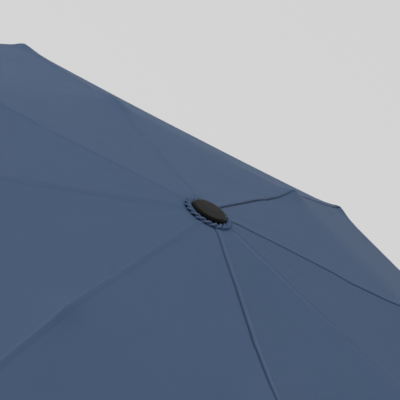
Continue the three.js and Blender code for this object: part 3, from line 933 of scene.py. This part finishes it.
def build_handle():
    low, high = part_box("handle_grip")
    bore = 5.7 * MM
    bore_end = low.z + 7.4 * MM  # how far down the shaft goes
    grip = flowing(mm_outline([
        [14.8, 2.0], [15.0, 6], [14.95, 12], [14.7, 20],
        [14.25, 29], [13.65, 38], [13.05, 46], [12.6, 50.5],
    ]), 5)
    grip = [[r, low.z + height] for r, height in grip]
    outline = [[0, low.z], [14.3 * MM, low.z]] + grip
    outline += [[12.45 * MM, high.z - 1.4 * MM], [11.6 * MM, high.z - 0.15 * MM], [10.9 * MM, high.z]]
    outline += [[bore, high.z], [bore, bore_end], [0, bore_end]]
    lathed(
        "grip_moulding", "handle_grip", "lower_shaft", outline, GRIP_BLACK, closed=False
    )
    low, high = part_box("handle_end_cap")
    end = [[0, low.z], [12.5 * MM, low.z], [13.9 * MM, low.z + 0.9 * MM], [14.4 * MM, low.z + 2.2 * MM]]
    end += [[14.4 * MM, high.z], [0, high.z]]
    lathed(
        "grip_end", "handle_end_cap", "lower_shaft", end, HUB_BLACK, closed=False, radius=0.6
    )
    low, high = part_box("handle_ferrule")
    ferrule = [[bore, low.z], [9.6 * MM, low.z], [9.6 * MM, low.z + 1.3 * MM], [8.0 * MM, high.z]]
    ferrule += [[bore, high.z]]
    lathed("grip_ferrule", "handle_ferrule", "lower_shaft", ferrule, PLATED, radius=0.5)


def build_shaft():
    for node, body, material, slot in (
        ("upper_tube", "shaft_top", ENAMEL, "painted_steel"),
        ("middle_tube", "middle_shaft", PLATED, "bright_steel"),
        ("lower_tube", "lower_shaft", PLATED, "bright_steel"),
    ):
        lathed(f"{node}_shell", node, body, tube_outline(node), material, 96, radius=0.15)
    for node, body in (("upper_tube_collar", "shaft_top"), ("middle_tube_collar", "middle_shaft")):
        low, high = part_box(node)
        bore = high.x - 1.3 * MM
        lathed(
            f"{node}_ring", node, body,
            [[bore, low.z], [high.x - 0.5 * MM, low.z], [high.x, low.z + 0.8 * MM],
             [high.x, high.z - 1.0 * MM], [high.x - 0.6 * MM, high.z], [bore, high.z]],
            HUB_BLACK, 96, radius=0.3,
        )


build_handle()
build_shaft()


# ---- The frame's CAD nodes -----------------------------------------------------------------------

FINISHES = {
    "crown": HUB_BLACK,
    "shaft_plug": HUB_BLACK,
    "crown_wire": PLATED,
    "runner": HUB_BLACK,
    "runner_button": CAP_BLACK,
}
RIB_FINISHES = {
    "top_rib": ENAMEL,
    "middle_rib": ENAMEL,
    "outer_rib": FIBRE,
    "rib_tip": HUB_BLACK,
    "stretcher": ENAMEL,
}

for name, node in frame["nodes"].items():
    stem = name.rsplit("_", 1)[0]
    finish = FINISHES.get(name) or RIB_FINISHES.get(stem)
    if finish:
        dress(node, finish)
        sharpen(node, 35)
        soften(node, 0.12 * MM)


# ---- Camera, floor and light ---------------------------------------------------------------------

VIEW_ELEVATION = 21.41  # above the plane across the shaft
VIEW_ROLL = 30.29  # the shaft leans this far to the right of upright
VIEW_AZIMUTH = 76.08  # the first rib is this far round from the right
VIEW_DISTANCE = 1.6362
LENS_PER_SENSOR = 6.435
AIM_SHIFT = (0.0196, -0.0342)  # where the hub sits from the middle, in picture widths
HUB_HEIGHT = CROWN[1] + 3.3 * MM
SKY = 1.7
KEY_AZIMUTH = 104  # from the left of the picture
KEY_POWER = 32


def place_camera():
    e, roll = math.radians(VIEW_ELEVATION), math.radians(VIEW_ROLL)
    around = Matrix.Rotation(math.radians(-VIEW_AZIMUTH), 3, "Z")
    back = around @ Vector((0, -math.cos(e), math.sin(e)))
    right = around @ Vector((1, 0, 0))
    up = back.cross(right)
    rolled_right = right * math.cos(roll) + up * math.sin(roll)
    rolled_up = back.cross(rolled_right)
    data = bpy.data.cameras.new("camera")
    data.sensor_width = 36
    data.lens = 36 * LENS_PER_SENSOR
    data.clip_start, data.clip_end = 0.05, 50
    camera = bpy.data.objects.new("camera", data)
    bpy.context.scene.collection.objects.link(camera)
    hub = Vector((0, 0, HUB_HEIGHT))
    camera.location = hub + back * VIEW_DISTANCE
    aim = hub - rolled_right * AIM_SHIFT[0] * VIEW_DISTANCE / LENS_PER_SENSOR
    aim -= rolled_up * AIM_SHIFT[1] * VIEW_DISTANCE / LENS_PER_SENSOR
    ahead = (aim - camera.location).normalized()
    side = ahead.cross(rolled_up).normalized()
    top = side.cross(ahead)
    camera.matrix_world = Matrix.Translation(camera.location) @ Matrix(
        (side, top, -ahead)
    ).transposed().to_4x4()
    bpy.context.scene.camera = camera


def build_floor():
    size = 30
    floor = new_object(
        "floor", [(-size, -size, 0), (size, -size, 0), (size, size, 0), (-size, size, 0)], [(0, 1, 2, 3)]
    )
    floor.location.z = -1 * MM
    m = Nodes("floor_white", (0.9, 0.9, 0.9), 0.8)
    floor.data.materials.append(m.material)


def area_light(name, azimuth, elevation, distance, size, power):
    """A soft light at a bearing from the hub, aimed at it."""
    hub = Vector((0, 0, HUB_HEIGHT))
    a, e = math.radians(azimuth), math.radians(elevation)
    away = Vector((math.cos(a) * math.cos(e), math.sin(a) * math.cos(e), math.sin(e)))
    data = bpy.data.lights.new(name, "AREA")
    data.size = size
    data.energy = power
    lamp = bpy.data.objects.new(name, data)
    lamp.location = hub + away * distance
    lamp.rotation_mode = "QUATERNION"
    lamp.rotation_quaternion = away.to_track_quat("Z", "Y")
    bpy.context.scene.collection.objects.link(lamp)


def light_studio():
    world = bpy.data.worlds.new("studio")
    world.use_nodes = True
    sky = world.node_tree.nodes["Background"]
    sky.inputs["Color"].default_value = (1, 1, 1, 1)
    sky.inputs["Strength"].default_value = SKY
    bpy.context.scene.world = world
    area_light("key", KEY_AZIMUTH, 38, 2.2, 1.6, KEY_POWER)


place_camera()
build_floor()
light_studio()

bpy.context.view_layer.update()
